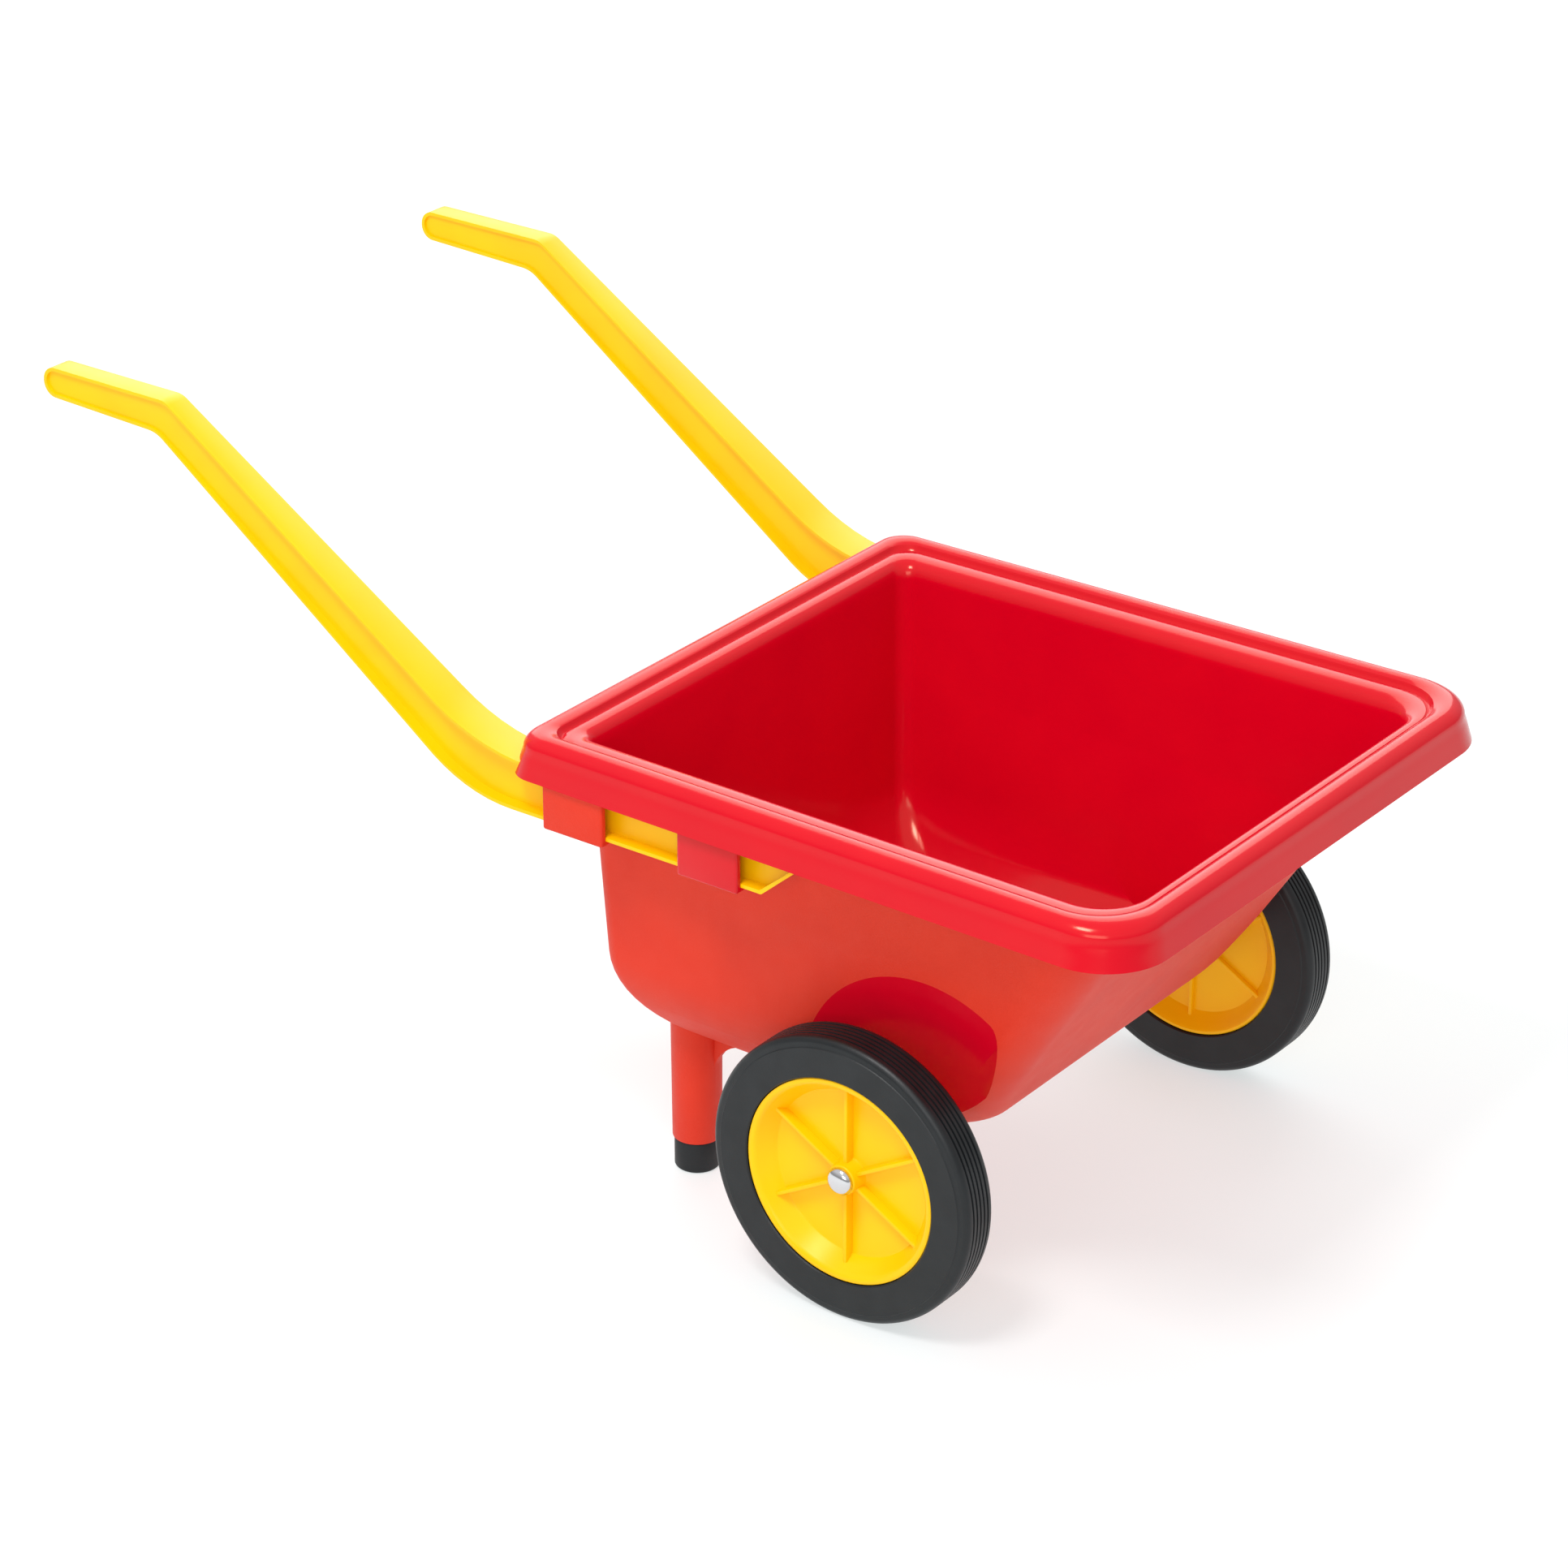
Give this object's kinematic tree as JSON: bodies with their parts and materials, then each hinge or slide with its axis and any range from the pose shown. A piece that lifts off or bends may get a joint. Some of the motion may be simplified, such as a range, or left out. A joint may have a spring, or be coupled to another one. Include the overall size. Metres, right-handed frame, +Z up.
{
  "type": "toy wheelbarrow",
  "caption": "Child's push-along wheelbarrow: an open moulded tub on wheels at the nose, legs at the back, and a pair of bent push handles.",
  "frame": {"origin": "middle of the outline, on the floor", "axes": "+Z up, +Y towards the push handles, -Y towards the nose and wheels, +X the right wheel's side"},
  "size_m": [0.393, 0.7814, 0.433],
  "materials": {
    "red_plastic": "fine grain outside, glossy rim and inside",
    "yellow_plastic": "semi-gloss moulded",
    "tyre_rubber": "matte with fine rings round the tread",
    "foot_rubber": "matte",
    "steel": "zinc plated",
    "chrome": "polished dome"
  },
  "bodies": {
    "barrow": {"tub": "red_plastic", "left_handle": "yellow_plastic", "right_handle": "yellow_plastic", "left_foot": "foot_rubber", "right_foot": "foot_rubber", "axle": "steel", "left_washer": "steel", "right_washer": "steel", "left_hub_cap": "chrome", "right_hub_cap": "chrome"},
    "left_wheel_body": {"left_wheel": "yellow_plastic", "left_tyre": "tyre_rubber"},
    "right_wheel_body": {"right_wheel": "yellow_plastic", "right_tyre": "tyre_rubber"}
  },
  "joints": [
    {"name": "left_wheel_spin", "type": "hinge", "parent": "barrow", "child": "left_wheel_body", "pos_m": [-0.1805, -0.20475, 0.088], "axis": [1, 0, 0], "continuous": true},
    {"name": "right_wheel_spin", "type": "hinge", "parent": "barrow", "child": "right_wheel_body", "pos_m": [0.1805, -0.20475, 0.088], "axis": [1, 0, 0], "continuous": true}
  ]
}
